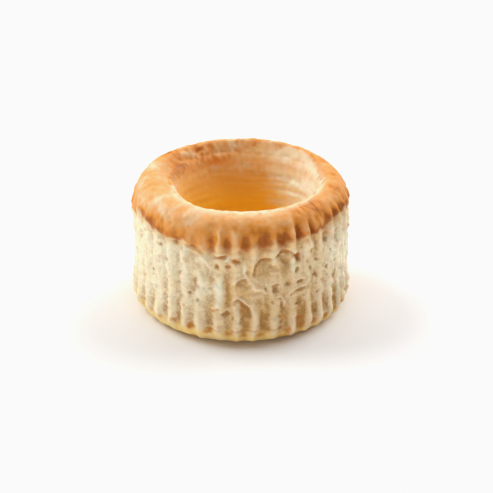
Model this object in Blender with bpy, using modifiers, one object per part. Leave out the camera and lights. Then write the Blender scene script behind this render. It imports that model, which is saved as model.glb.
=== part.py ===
"""A baked vol-au-vent shell: one piece of puff pastry, cut with a fluted ring and hollowed from the top.

Metres, +Z up. The origin is the middle of the base, which stands on z = 0. Angles run round +Z from the
front of the shell (-Y) towards its right (+X), so a point at angle a is at (sin a, -cos a).
"""

import bisect
import math
import random

import bmesh
import bpy
from mathutils import Vector, noise

MM = 0.001

# Driving dimensions of the shell.
HEIGHT = 47.0 * MM
FOOT_RADIUS = 34.2 * MM  # the flat that the shell stands on
BASE_RADIUS = 39.8 * MM  # the widest ring, just above the foot
BASE_RING_HEIGHT = 6.0 * MM
WAIST_RADIUS = 39.0 * MM
CRUST_HEIGHT = 38.4 * MM  # where the browned top laps over the pale side
CROWN_RADIUS = 31.2 * MM  # the highest ring of the browned top
CROWN_LIFT = 1.1 * MM  # how much higher that ring is at the back than at the front
CROWN_SPREAD = 1.5 * MM  # and how much wider
BACK_ANGLE = -160  # degrees from the front, where it is highest and widest
MOUTH_RADIUS = 25.2 * MM
MOUTH_DROP = 1.2 * MM  # how far the cut edge of the mouth lies below the crown at the front
LIP_ROUND = 2.2 * MM
FLOOR_RADIUS = 23.4 * MM
FLOOR_HEIGHT = 10.5 * MM
FLOOR_FILLET = 4.5 * MM
MOUTH_OFFSET = 1.9 * MM  # the lid was cut a little to the right of the middle
MOUTH_OFFSET_FROM = (8 * MM, 20 * MM)  # the heights over which that sets in
CROWN_LIFT_FROM = (34 * MM, 46 * MM)
CROWN_SPREAD_FROM = (36 * MM, 46 * MM)
CROWN_SPREAD_TO = (31 * MM, 37 * MM)  # the radii over which the spread ends
FUNNEL = 3.6 * MM  # how far the top slopes down into the mouth at the back
FUNNEL_ANGLE = 170
FUNNEL_EDGE = 32 * MM  # the radius at which that slope starts
FUNNEL_CURVE = 1.4
FUNNEL_FROM = (24 * MM, 44 * MM)
FLARE = 1.8 * MM  # how much wider the hollow's wall is under that slope
FLARE_FROM = (24 * MM, 43 * MM)
FLARE_TO = (28 * MM, 32.5 * MM)  # the radii over which the flare ends
MOUTH_BULGE = 1.6 * MM  # how much wider the mouth is at the front's left
BULGE_ANGLE = -38
BULGE_WIDTH = (0, 36)  # degrees
BULGE_FROM = (30 * MM, 43 * MM)
BULGE_TO = (27.5 * MM, 31 * MM)  # the radii over which that ends

# The ridges left by the fluted ring that cut the dough. Those at the front stand at these angles, in degrees,
# and the rest are spaced evenly.
FLUTES = 38
SHOWN_RIDGES = (
    -68.5, -57, -46.8, -38.1, -29.9, -20.9, -10.9, -1.9,
    6.6, 17, 27.8, 36.8, 44.9, 53.8, 62.4, 71.4,
)
FLUTE_DEPTH = 1.4 * MM
FLUTE_JITTER = 1.2  # degrees, for the ridges that are spaced evenly
FLUTE_WANDER = 1.4  # degrees, how far a ridge strays sideways on its way up
FLUTE_WANDER_SIZE = 9 * MM
FLUTE_STRENGTHS = (0.75, 1.2)
SWELL_BELOW = (9 * MM, 16 * MM)  # the rising dough filled the flutes from between these heights
SWELL_ABOVE = (29 * MM, 34 * MM)  # to between these
SWELL_SIZE = 7 * MM
SWELL_UNEVENNESS = 0.4
CREASED_ANGLE = 42  # the pleats under the crust are deepest here, at the front's right
CREASED_WIDTH = (20, 49)
CREASED_STRENGTHS = (0.6, 0.75)  # elsewhere, and what it gains there
CREASED_FROM = (28 * MM, 36 * MM)
CREASED_HIGHER = 1.5 * MM  # the deep pleats reach this much higher
FOOT_FADE = (0.5 * MM, 2.8 * MM)  # the flutes start above the flat foot
RING_FADE = (4.0 * MM, 6.5 * MM)  # and are at their full depth above the base ring
FLUTES_END = (40.5 * MM, 45 * MM)  # where the flutes fade into the smooth crown
SEED = 7

# How the flutes change round the shell, as (degrees, value).
SWELLS = (  # how much of them the dough filled halfway up
    (-180, 0.45), (-90, 0.75), (-52, 0.75), (-40, 0.5), (-8, 0.4), (6, 0.85),
    (34, 0.85), (42, 0.6), (56, 0.75), (75, 0.75), (180, 0.45),
)
SHARPNESSES = ((-180, 1.2), (-60, 0.85), (-5, 0.9), (12, 1.8), (60, 1.8), (100, 1.2), (180, 1.2))
RING_SHARES = ((-180, 0.6), (-5, 0.6), (12, 0.75), (60, 0.95), (100, 0.7), (180, 0.6))

# Crags that rose in the side as it baked: (angle in degrees, top, half width, drop, depth in mm).
SHOWN_CRAGS = (
    (24.6, 35.8, 5.8, 8.0, 1.3),
    (11.4, 33.8, 3.9, 7.0, 0.9),
    (-23.0, 35.6, 5.2, 4.5, 0.6),
    (-8.0, 35.2, 4.6, 3.0, 1.1),
    (-0.2, 26.6, 2.6, 3.4, 0.9),
    (0.6, 18.8, 3.8, 5.0, 1.0),
    (17.7, 23.6, 2.2, 3.2, 1.1),
    (31.0, 23.4, 2.4, 2.8, 0.9),
    (51.5, 38.0, 3.2, 3.0, 0.7),
    (-55.5, 37.2, 4.2, 3.0, 0.5),
    (-44.0, 30.2, 2.8, 3.0, 0.6),
)
SHOWN_TO = 75  # degrees to either side of the front
MORE_CRAGS = 34
MORE_CRAG_TOPS = (35.0, 19.5, 28.0, 14.0, 32.0, 23.0)  # mm, taken in turn, each up to 2 mm higher or lower
MORE_CRAG_SIZES = ((1.8, 6.8), (3.0, 9.0), (0.6, 1.4))  # mm: half widths, drops, depths
CRAG_ARCH = 0.62  # how far a crag's edge falls towards its ends, as a share of its drop
CRAG_RIM = 0.34 * MM
CRAG_RIM_WIDTH = 0.55 * MM
RAGGED_SIZE = 3.0 * MM
RAGGED_DEGREES = 1.0
RAGGED_HEIGHT = 0.55 * MM
SIDE_FROM = (3 * MM, 7 * MM)  # the heights over which the craggy side sets in
SIDE_TO = (36.5 * MM, 41 * MM)  # and ends
PIT_CELL = 4.0 * MM
PIT_DEPTH = 1.1 * MM
PIT_SHARE = 0.55  # of the cells that hold a pit
PIT_ON_RIDGES = 0.35  # how deep the pits on the ridges are, as a share of those in the valleys
PIT_SHOWN = 0.4  # and those at the front, as a share of the others
KNOB_WIDTH = 2.9 * MM
KNOB_HEIGHT = 3.4 * MM
KNOB_DEPTH = 0.46 * MM

# Where the browned crust ends at the front, as (degrees, mm).
CRUST_EDGE = (
    (-90, 37.5), (-77, 37.8), (-65, 40.4), (-54, 39.1), (-45, 38.2), (-30, 38.8), (-21, 36.2), (-13, 37.6),
    (2, 37.4), (17, 38.4), (33, 39.3), (43, 38.9), (51, 39.9), (66, 41.0), (80, 39.2),
)
# Pleats pinched into the crust: (angle in degrees, height, half width, half height, depth in mm).
SHOWN_PLEATS = (
    (-14.6, 39.8, 1.9, 4.8, 0.45),
    (-6.6, 39.4, 1.7, 4.8, 0.55),
    (1.7, 39.0, 1.9, 4.6, 0.5),
    (13.1, 40.8, 1.5, 3.8, 0.55),
    (23.5, 41.4, 1.6, 4.4, 1.0),
    (30.2, 42.2, 1.4, 4.6, 1.15),
    (38.6, 42.6, 1.4, 4.4, 1.1),
    (44.8, 42.6, 1.1, 4.0, 0.9),
    (52.4, 42.6, 1.1, 3.8, 0.8),
    (59.0, 43.4, 1.0, 3.2, 0.6),
)
PLEAT_FADE = (0.1, 1.25)  # where a pleat fades out, as shares of its half width and half height
CRUST_EDGE_TO = (80, 92)  # degrees, where that edge gives way to an uneven one
CRUST_EDGE_WAVE = 1.2 * MM
CRUST_EDGE_WAVE_SIZE = 11 * MM
CRUST_EDGE_STEP = (-0.45 * MM, 0.35 * MM)
EDGE_IN_VALLEYS = 1.1 * MM  # how much lower the crust laps in the valleys

# The browned skin, the leaves in the hollow's wall, and the slow unevenness of the whole.
SKIN = 0.5 * MM
SHOULDER_TUCK = 0.4 * MM  # how much thinner the skin is over the shoulder
SHOULDER_FROM = (37.5 * MM, 40 * MM)
SHOULDER_TO = (43 * MM, 46.5 * MM)
WALL_SKIN_FROM = (36 * MM, 45.4 * MM)  # the skin thins out down the hollow's wall
BLISTER = 3.4 * MM
BLISTER_DEPTH = 0.3 * MM
LEAF = 1.9 * MM
LEAF_DEPTH = 0.42 * MM
LEAF_WAVE = 1.6 * MM  # how far a leaf rises and falls round the wall
LEAF_WAVE_SIZE = 16 * MM
WALL_SWELL = 9 * MM
WALL_SWELL_DEPTH = 0.5 * MM
FLOOR_BUMP = 6 * MM
FLOOR_BUMP_DEPTH = 0.7 * MM
WOBBLE = 0.55 * MM
WOBBLE_HEIGHT = 40 * MM
WOBBLE_FROM = (0.0, 4 * MM)
WOBBLE_SHIFT = (5.2, 1.7, 0.4)  # picks which way the shell is uneven

# How finely the form is made before it is reduced.
COLUMNS = FLUTES * 14
PROFILE_STEP = 0.62 * MM
FLAT = 0.05 * MM  # points as low as this lie in the base's plane
TRIANGLES = 11200


def ramp(low, high, value):
    """0 below low, 1 above high, and smooth between them; low may be the larger."""
    share = min(max((value - low) / (high - low), 0.0), 1.0)
    return share * share * (3 - 2 * share)


def lumps(point, size, seed=0.0):
    """Soft noise from about -0.7 to 0.7, with lumps of a size."""
    return noise.noise(point / size + Vector((3.7, 1.3, 2.1)) * seed)


def value_at(turn, stops):
    """The value at an angle between stops of (angle, value)."""
    for (start, low), (end, high) in zip(stops, stops[1:]):
        if turn <= end:
            share = max((turn - start) / (end - start), 0.0)
            return low + (high - low) * share
    return stops[-1][1]


def arc(centre, radii, start, end, steps):
    """Points (r, z) along an elliptical arc; its angles are in degrees."""
    points = []
    for i in range(steps + 1):
        turn = math.radians(start + (end - start) * i / steps)
        points.append((centre[0] + radii[0] * math.cos(turn), centre[1] + radii[1] * math.sin(turn)))
    return points


def bend(start, control, end, steps):
    """Points (r, z) along a curve from start to end that is drawn towards control."""
    points = []
    for i in range(1, steps):
        t = i / steps
        points.append(tuple(
            (1 - t) ** 2 * a + 2 * t * (1 - t) * b + t * t * c for a, b, c in zip(start, control, end)
        ))
    return points


def steps_for(length):
    return max(2, round(length / PROFILE_STEP))


def half_section():
    """The shell's half section, from the middle of its floor, over the mouth, to the middle of its base."""
    mouth_top = HEIGHT - MOUTH_DROP
    crown = (CROWN_RADIUS, HEIGHT)
    lip_centre = (MOUTH_RADIUS + LIP_ROUND, mouth_top - LIP_ROUND)
    shoulder = (WAIST_RADIUS, CRUST_HEIGHT)
    base_ring = (BASE_RADIUS, BASE_RING_HEIGHT)
    floor = bend((0.0, FLOOR_HEIGHT), (FLOOR_RADIUS / 2, FLOOR_HEIGHT),
                 (FLOOR_RADIUS - FLOOR_FILLET, FLOOR_HEIGHT), 9)
    fillet = arc((FLOOR_RADIUS - FLOOR_FILLET, FLOOR_HEIGHT + FLOOR_FILLET),
                 (FLOOR_FILLET, FLOOR_FILLET), -90, 0, 8)
    inner = bend(fillet[-1], (MOUTH_RADIUS - 0.4 * MM, HEIGHT / 2), (MOUTH_RADIUS, lip_centre[1]),
                 steps_for(mouth_top - FLOOR_HEIGHT - FLOOR_FILLET) // 2)
    lip = arc(lip_centre, (LIP_ROUND, LIP_ROUND), 180, 95, 4)
    top = bend(lip[-1], (CROWN_RADIUS - 2.2 * MM, HEIGHT), crown, 5)
    over = arc((CROWN_RADIUS, CRUST_HEIGHT), (WAIST_RADIUS - CROWN_RADIUS, HEIGHT - CRUST_HEIGHT), 90, 0,
               steps_for(0.75 * math.pi * (HEIGHT - CRUST_HEIGHT) / 1.5))
    side = bend(shoulder, (WAIST_RADIUS - 0.2 * MM, HEIGHT * 0.4), base_ring, steps_for(CRUST_HEIGHT))
    foot = arc((FOOT_RADIUS, BASE_RING_HEIGHT), (BASE_RADIUS - FOOT_RADIUS, BASE_RING_HEIGHT), 0, -90, 8)
    return [(0.0, FLOOR_HEIGHT), *floor, *fillet, *inner, *lip, *top, *over, *side, *foot, (0.0, 0.0)]


def turned(name, section):
    """A mesh object: the section turned about Z, as plain geometry."""
    mesh = bpy.data.meshes.new(name)
    mesh.from_pydata([(r, 0.0, z) for r, z in section], [(i, i + 1) for i in range(len(section) - 1)], [])
    outline = bpy.data.objects.new(name + "_outline", mesh)
    bpy.context.scene.collection.objects.link(outline)
    screw = outline.modifiers.new("Turn", "SCREW")
    screw.steps = screw.render_steps = COLUMNS
    screw.use_merge_vertices = True
    screw.merge_threshold = 1e-6
    screw.use_smooth_shade = True
    graph = bpy.context.evaluated_depsgraph_get()
    solid = bpy.data.objects.new(name, bpy.data.meshes.new_from_object(outline.evaluated_get(graph)))
    bpy.data.objects.remove(outline)
    bpy.data.meshes.remove(mesh)
    return solid


class Flutes:
    """The ridges that the ring cut, each with its own place and strength."""

    def __init__(self):
        rng = random.Random(SEED)
        hidden = FLUTES - len(SHOWN_RIDGES)
        gap = (360 + SHOWN_RIDGES[0] - SHOWN_RIDGES[-1]) / (hidden + 1)
        self.turns = [0.0]
        self.turns += [ridge - SHOWN_RIDGES[0] for ridge in SHOWN_RIDGES[1:]]
        last = self.turns[-1]
        self.turns += [last + gap * (i + 1) + rng.uniform(-1, 1) * FLUTE_JITTER for i in range(hidden)]
        self.turns.append(360.0)
        self.strengths = [rng.uniform(*FLUTE_STRENGTHS) for _ in range(FLUTES)]

    def ridge(self, turn):
        """(1 on a ridge and 0 in a valley, the strength there) at an angle from the front in degrees."""
        past = (turn - SHOWN_RIDGES[0]) % 360
        i = min(bisect.bisect_right(self.turns, past), FLUTES) - 1
        share = (past - self.turns[i]) / (self.turns[i + 1] - self.turns[i])
        crest = 0.5 + 0.5 * math.cos(2 * math.pi * share)
        return crest, (1 - share) * self.strengths[i] + share * self.strengths[(i + 1) % FLUTES]


def scattered_crags():
    """More crags, for the sides and back, in rows that keep them apart."""
    rng = random.Random(SEED)
    crags = []
    span = 360 - 2 * SHOWN_TO
    for i in range(MORE_CRAGS):
        angle = SHOWN_TO + span * (i + rng.uniform(-0.4, 0.4)) / MORE_CRAGS
        top = MORE_CRAG_TOPS[i % len(MORE_CRAG_TOPS)] + rng.uniform(-2, 2)
        size = rng.uniform(0.0, 1.0) ** 1.6  # most of them are small
        half_width, drop = (low + (high - low) * size for low, high in MORE_CRAG_SIZES[:2])
        crags.append((angle, top, half_width, drop, rng.uniform(*MORE_CRAG_SIZES[2])))
    return crags


def crag_relief(crag, turn, level):
    """A hollow with an arched, sharp upper edge that fades out downwards, and a raised rim along the edge."""
    centre, top, half_width, drop, depth = crag
    across = ((turn - centre + 180) % 360 - 180) * math.radians(WAIST_RADIUS) / (half_width * MM)
    if abs(across) > 1.35:
        return 0.0
    below = top * MM - CRAG_ARCH * drop * MM * abs(across) ** 3 - level
    inside = ramp(-0.15 * MM, 0.75 * MM, below) * ramp(drop * MM, 0.3 * drop * MM, below)
    inside *= ramp(1.12, 0.86, abs(across))
    rim = math.exp(-((below + CRAG_RIM_WIDTH) / CRAG_RIM_WIDTH) ** 2) * ramp(1.3, 0.9, abs(across))
    return CRAG_RIM * rim - depth * MM * inside


def pit_relief(point, crest, shown):
    """Small hollows in the valleys, where bubbles in the dough opened; fewer of them show at the front."""
    cell = Vector((point.x / PIT_CELL, point.y / PIT_CELL, point.z / (1.25 * PIT_CELL)))
    distances, places = noise.voronoi(cell)
    luck = noise.cell(places[0] * 7.3)
    if luck < 1 - PIT_SHARE:
        return 0.0
    depth = PIT_DEPTH * (PIT_SHARE + 0.6 * luck)
    depth *= (1 - (1 - PIT_ON_RIDGES) * crest) * (1 - (1 - PIT_SHOWN) * shown)
    return -depth * ramp(0.5, 0.12, distances[0])


def pleat_relief(turn, level):
    """Short upright valleys pinched into the crust."""
    deepest = 0.0
    for angle, height, half_width, half_height, depth in SHOWN_PLEATS:
        across = ((turn - angle + 180) % 360 - 180) * math.radians(WAIST_RADIUS) / (half_width * MM)
        up = (level - height * MM) / (half_height * MM)
        deepest = max(deepest, depth * MM * ramp(*reversed(PLEAT_FADE), math.hypot(across, up)))
    return -deepest


def crust_skin(point):
    """The thickness of the browned skin, which blistered."""
    blister = noise.noise(point / BLISTER) + 0.5 * noise.noise(point / (0.5 * BLISTER))
    return SKIN + BLISTER_DEPTH * blister


def outer_relief(x, y, z, flutes, crags):
    """How far the outer skin stands out from the turned form at a point."""
    turn = math.degrees(math.atan2(x, -y))
    point = Vector((x, y, z))
    crest, strength = flutes.ridge(turn + FLUTE_WANDER * lumps(point, FLUTE_WANDER_SIZE))
    crest **= value_at(turn, SHARPNESSES)
    off_crease = abs((turn - CREASED_ANGLE + 180) % 360 - 180)
    creased = CREASED_STRENGTHS[0] + CREASED_STRENGTHS[1] * ramp(*reversed(CREASED_WIDTH), off_crease)

    # The flutes are deep above the base ring and under the crust, and swollen over between them.
    ring_share = value_at(turn, RING_SHARES)
    ring = ramp(*FOOT_FADE, z) * (ring_share + (1 - ring_share) * ramp(*RING_FADE, z))
    between = ramp(*SWELL_BELOW, z) * ramp(*reversed(SWELL_ABOVE), z)
    swell = value_at(turn, SWELLS) + SWELL_UNEVENNESS * lumps(point, SWELL_SIZE, 2)
    swollen = 1 - between * min(max(swell, -0.2), 1.0)
    shoulder = ramp(*reversed(FLUTES_END), z - CREASED_HIGHER * (creased - 1))
    under_crust = 1 + (creased - 1) * ramp(*CREASED_FROM, z)
    relief = FLUTE_DEPTH * strength * ring * swollen * shoulder * under_crust * (crest - 0.5)

    ragged = lumps(point, RAGGED_SIZE, 8)
    bent, level = turn + RAGGED_DEGREES * ragged, z + RAGGED_HEIGHT * ragged
    relief += pleat_relief(bent, level)
    side = ramp(*SIDE_FROM, z) * ramp(*reversed(SIDE_TO), z)
    if side > 0:
        relief += side * KNOB_DEPTH * noise.noise(Vector((x / KNOB_WIDTH, y / KNOB_WIDTH, z / KNOB_HEIGHT)))
        relief += side * pit_relief(point, crest, ramp(85, 70, abs(turn)))
        relief += side * sum(crag_relief(crag, bent, level) for crag in crags)

    # The crust laps over the side with an uneven edge, lower in the valleys.
    hidden_edge = CRUST_HEIGHT + CRUST_EDGE_WAVE * lumps(Vector((x, y, 0)), CRUST_EDGE_WAVE_SIZE)
    shown_edge = value_at(turn, CRUST_EDGE) * MM
    edge = hidden_edge + ramp(*reversed(CRUST_EDGE_TO), abs(turn)) * (shown_edge - hidden_edge)
    edge += EDGE_IN_VALLEYS * (crest - 0.6) + RAGGED_HEIGHT * ragged
    crust = ramp(edge + CRUST_EDGE_STEP[0], edge + CRUST_EDGE_STEP[1], z)
    tuck = SHOULDER_TUCK * ramp(*SHOULDER_FROM, z) * ramp(*reversed(SHOULDER_TO), z)
    return relief + crust * (crust_skin(point) - tuck)


def inner_relief(x, y, z):
    """How far the cut wall of the hollow stands in or out: the leaves of the dough show as uneven steps."""
    turn = Vector((x, y, 0)) / LEAF_WAVE_SIZE
    level = z + LEAF_WAVE * noise.noise(turn)
    leaf = noise.noise(Vector((0.6 * turn.x, 0.6 * turn.y, level / LEAF)))
    swell = noise.noise(Vector((x, y, 0.6 * z)) / WALL_SWELL)
    return LEAF_DEPTH * leaf + WALL_SWELL_DEPTH * swell


def wobble(angle, z):
    """The slow unevenness of a baked thing."""
    round_point = Vector((math.cos(angle), math.sin(angle), z / WOBBLE_HEIGHT))
    return WOBBLE * ramp(*WOBBLE_FROM, z) * noise.noise(round_point * 1.1 + Vector(WOBBLE_SHIFT))


def facing(x, y, angle):
    """1 for a point that lies at an angle from the front, and 0 opposite."""
    return 0.5 + 0.5 * math.cos(math.atan2(x, -y) - math.radians(angle))


def leaned(point):
    """The point after the mouth is set off to one side and the top is given its higher, sloping back."""
    x, y, z = point
    if z <= 0:
        return Vector((x, y, 0.0))
    radius = math.hypot(x, y)
    inside = ramp(CROWN_RADIUS + 2 * MM, MOUTH_RADIUS, radius) * ramp(*MOUTH_OFFSET_FROM, z)
    crown = ramp(MOUTH_RADIUS + LIP_ROUND, CROWN_RADIUS, radius) * ramp(*CROWN_LIFT_FROM, z)
    spread = CROWN_SPREAD * facing(x, y, BACK_ANGLE) ** 2
    spread *= ramp(*CROWN_SPREAD_FROM, z) * ramp(*reversed(CROWN_SPREAD_TO), radius)
    flare = FLARE * facing(x, y, FUNNEL_ANGLE) ** 2
    flare *= ramp(*FLARE_FROM, z) * ramp(*reversed(FLARE_TO), radius)
    slope = min(max((FUNNEL_EDGE - radius) / (FUNNEL_EDGE - MOUTH_RADIUS), 0.0), 1.0) ** FUNNEL_CURVE
    drop = FUNNEL * facing(x, y, FUNNEL_ANGLE) ** 2 * slope * ramp(*FUNNEL_FROM, z)
    lift = CROWN_LIFT * crown * facing(x, y, BACK_ANGLE) - drop
    off_bulge = abs((math.degrees(math.atan2(x, -y)) - BULGE_ANGLE + 180) % 360 - 180)
    bulge = MOUTH_BULGE * ramp(*reversed(BULGE_WIDTH), off_bulge)
    bulge *= ramp(*BULGE_FROM, z) * ramp(*reversed(BULGE_TO), radius)
    scale = 1 + (spread + flare + bulge) / max(radius, MM)
    return Vector((x * scale + MOUTH_OFFSET * inside, y * scale, z + lift))


def shape(solid):
    """Gives the turned form its flutes, crags, pleats, lapped crust and leaves, and leans its top."""
    mesh = solid.data
    flutes = Flutes()
    crags = [*SHOWN_CRAGS, *scattered_crags()]
    form = bmesh.new()
    form.from_mesh(mesh)
    form.normal_update()
    moves = []
    for vertex in form.verts:
        x, y, z = vertex.co
        radius = math.hypot(x, y)
        angle = math.atan2(x, -y)
        if z < 1e-6:
            moves.append(Vector())
            continue
        outward = vertex.normal
        is_outer = radius > CROWN_RADIUS or (radius > MOUTH_RADIUS + LIP_ROUND and z > HEIGHT / 2)
        if is_outer:
            move = outward * (outer_relief(x, y, z, flutes, crags) + wobble(angle, z))
        elif z > FLOOR_HEIGHT + FLOOR_FILLET:
            fade = ramp(HEIGHT, HEIGHT - 5 * MM, z) * ramp(FLOOR_HEIGHT + FLOOR_FILLET, 18 * MM, z)
            crust = ramp(*WALL_SKIN_FROM, z)
            move = outward * (inner_relief(x, y, z) * fade + crust * crust_skin(vertex.co))
        else:
            bump = noise.noise(Vector((x, y, 0)) / FLOOR_BUMP)
            move = Vector((0, 0, FLOOR_BUMP_DEPTH * bump * ramp(FLOOR_RADIUS, 0.5 * FLOOR_RADIUS, radius)))
        moves.append(move)
    for vertex, move in zip(form.verts, moves):
        vertex.co = leaned(vertex.co + move)
    form.to_mesh(mesh)
    form.free()


def centre_on_origin(solid):
    """Moves the mesh so that its box is centred over the origin."""
    xs = [vertex.co.x for vertex in solid.data.vertices]
    ys = [vertex.co.y for vertex in solid.data.vertices]
    middle = Vector(((min(xs) + max(xs)) / 2, (min(ys) + max(ys)) / 2, 0))
    for vertex in solid.data.vertices:
        vertex.co -= middle


def reduced(solid):
    """The same form with few enough triangles, most of them where the relief is."""
    full = sum(len(face.vertices) - 2 for face in solid.data.polygons)
    decimate = solid.modifiers.new("Fewer triangles", "DECIMATE")
    decimate.ratio = TRIANGLES / full
    decimate.use_collapse_triangulate = True
    graph = bpy.context.evaluated_depsgraph_get()
    mesh = bpy.data.meshes.new_from_object(solid.evaluated_get(graph))
    solid.modifiers.remove(decimate)
    solid.data = mesh
    for vertex in mesh.vertices:
        if vertex.co.z < FLAT:
            vertex.co.z = 0.0


def baked_pastry():
    """Matt, pale golden puff pastry."""
    material = bpy.data.materials.new("baked_pastry")
    material.use_nodes = True
    surface = material.node_tree.nodes["Principled BSDF"]
    surface.inputs["Base Color"].default_value = (0.72, 0.47, 0.23, 1.0)
    surface.inputs["Roughness"].default_value = 0.6
    surface.inputs["Metallic"].default_value = 0.0
    return material


def main():
    for obj in list(bpy.data.objects):
        bpy.data.objects.remove(obj)
    parts = bpy.data.collections.new("vol_au_vent_shell")
    bpy.context.scene.collection.children.link(parts)
    shell = turned("pastry_shell", half_section())
    parts.objects.link(shell)
    shape(shell)
    reduced(shell)
    centre_on_origin(shell)
    shell.data.materials.clear()
    shell.data.materials.append(baked_pastry())
    shell.data.shade_smooth()


main()
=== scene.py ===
# A baked vol-au-vent shell on a white table: puff pastry, cut with a fluted ring and hollowed from the top.
import math
import random

import bpy
import numpy as np
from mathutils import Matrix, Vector, noise


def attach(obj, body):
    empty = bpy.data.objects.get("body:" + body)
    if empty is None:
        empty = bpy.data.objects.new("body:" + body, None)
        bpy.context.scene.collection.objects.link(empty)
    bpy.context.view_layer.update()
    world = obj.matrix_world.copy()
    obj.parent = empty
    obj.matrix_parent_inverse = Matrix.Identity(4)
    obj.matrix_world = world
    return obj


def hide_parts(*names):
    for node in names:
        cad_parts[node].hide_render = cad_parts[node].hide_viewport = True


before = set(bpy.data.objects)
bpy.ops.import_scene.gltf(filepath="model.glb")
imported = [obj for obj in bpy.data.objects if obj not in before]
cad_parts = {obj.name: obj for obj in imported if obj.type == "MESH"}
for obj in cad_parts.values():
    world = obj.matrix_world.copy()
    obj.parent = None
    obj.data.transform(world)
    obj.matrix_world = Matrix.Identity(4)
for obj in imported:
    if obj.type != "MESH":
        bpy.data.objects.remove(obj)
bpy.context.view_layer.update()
mm = 0.001

# The camera stands where the photograph's did: its tilt, distance and focal length were fitted to the
# ellipses of the mouth, the shoulder and the base.
photoView = {
    "tilt": 0.47,  # radians below level
    "distance": 471.6,  # mm, from the point it looks at
    "aimHeight": 23.0,
    "focalPixels": 1278.6,
    "imagePixels": 493,
    "axisColumn": 241.5,  # the pixel column of the shell's axis
    "rowShift": -9.486,
    "sensorWidth": 36.0,
    "clip": (0.01, 20),  # m
}


def placeCamera(view):
    lens = bpy.data.cameras.new("photoCamera")
    camera = bpy.data.objects.new("photoCamera", lens)
    bpy.context.scene.collection.objects.link(camera)
    lens.sensor_width = view["sensorWidth"]
    lens.lens = view["focalPixels"] * view["sensorWidth"] / view["imagePixels"]
    lens.shift_x = (view["imagePixels"] / 2 - view["axisColumn"]) / view["imagePixels"]
    lens.shift_y = view["rowShift"] / view["imagePixels"]
    lens.clip_start, lens.clip_end = view["clip"]
    tilt, distance = view["tilt"], view["distance"]
    height = view["aimHeight"] + distance * math.sin(tilt)
    camera.location = Vector((0, -distance * math.cos(tilt), height)) * mm
    camera.rotation_euler = (math.pi / 2 - tilt, 0, 0)
    bpy.context.scene.camera = camera


placeCamera(photoView)
print("camera placed")

# The turned form under the relief, in mm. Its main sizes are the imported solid's own.
shellForm = {
    "height": 47.0,
    "footRadius": 34.2,
    "baseRadius": 39.8,
    "baseRing": 6.0,
    "waistRadius": 39.0,
    "crustHeight": 38.4,
    "crownRadius": 31.2,
    "crownLift": 1.1,  # how much higher and wider the crown is at the back
    "crownSpread": 1.5,
    "backTurn": -160,  # degrees round from the front
    "funnel": 3.6,  # how far the crown slopes down into the mouth there
    "funnelTurn": 170,
    "funnelStart": 0.8,  # how far outside the crown's radius the slope begins
    "funnelCurve": 1.8,  # how much it steepens towards the mouth
    "flare": 1.8,  # how much wider the hollow's wall is under that slope
    "bulge": 1.6,  # how much wider the mouth is at the front's left
    "bulgeTurn": -38,
    "bulgeSpan": 36,  # degrees to either side
    "mouthRadius": 25.2,
    "mouthDrop": 1.2,
    "lipRound": 2.2,
    "wallStart": 0.6,  # how far under the lip the hollow's own mesh begins
    "floorRadius": 23.4,
    "floorHeight": 10.5,
    "floorRings": (17.0, 14.0, 11.0, 8.0, 5.0, 2.2),
    "baseRings": (30.0, 20.0, 9.0, 2.5),
    "floorFillet": 4.5,
    "mouthOffset": 1.9,
    "underside": 0.001,  # points lower than this stay where they are
    "columns": 570,
    "wallColumns": 285,
    "row": 0.45,
    "wallRow": 0.75,
    "steps": {"lip": 7, "top": 10, "over": 28, "foot": 12, "fillet": 9},
}


def arcPoints(centre, radii, start, end, steps):
    turns = [math.radians(start + (end - start) * i / steps) for i in range(steps + 1)]
    return [(centre[0] + radii[0] * math.cos(t), centre[1] + radii[1] * math.sin(t)) for t in turns]


def curvePoints(start, control, end, steps):
    shares = [i / steps for i in range(1, steps)]
    return [tuple((1 - t) ** 2 * a + 2 * t * (1 - t) * b + t * t * c for a, b, c in zip(start, control, end))
            for t in shares]


def outerRings(form):
    # (radius, height) from inside the lip, over the crown, down the side to the foot and under it
    steps, rounding = form["steps"], form["lipRound"]
    lipCentre = (form["mouthRadius"] + rounding, form["height"] - form["mouthDrop"] - rounding)
    lip = arcPoints(lipCentre, (rounding, rounding), 180, 95, steps["lip"])
    crown = (form["crownRadius"], form["height"])
    top = curvePoints(lip[-1], (crown[0] - 2.2, crown[1]), crown, steps["top"])
    overRadii = (form["waistRadius"] - crown[0], form["height"] - form["crustHeight"])
    over = arcPoints((crown[0], form["crustHeight"]), overRadii, 90, 0, steps["over"])
    side = curvePoints(over[-1], (form["waistRadius"] - 0.2, form["height"] * 0.4),
                       (form["baseRadius"], form["baseRing"]), round(form["crustHeight"] / form["row"]))
    footRadii = (form["baseRadius"] - form["footRadius"], form["baseRing"])
    foot = arcPoints((form["footRadius"], form["baseRing"]), footRadii, 0, -90, steps["foot"])
    under = [(radius, 0.0) for radius in form["baseRings"]]
    return [*lip, *top, *over, *side, *foot, *under]


def wallRings(form):
    # (radius, height) down the hollow's wall, round its fillet and onto its floor
    fillet = form["floorFillet"]
    corner = (form["floorRadius"] - fillet, form["floorHeight"] + fillet)
    lipBottom = form["height"] - form["mouthDrop"] - form["lipRound"]
    start = (form["mouthRadius"], lipBottom - form["wallStart"])
    rows = round((start[1] - corner[1]) / form["wallRow"])
    wall = curvePoints(start, (form["mouthRadius"] - 0.4, form["height"] / 2),
                       (form["floorRadius"], corner[1]), rows)
    rounded = arcPoints(corner, (fillet, fillet), 0, -90, form["steps"]["fillet"])
    floor = [(radius, form["floorHeight"]) for radius in form["floorRings"]]
    return [start, *wall, *rounded, *floor]


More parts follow.
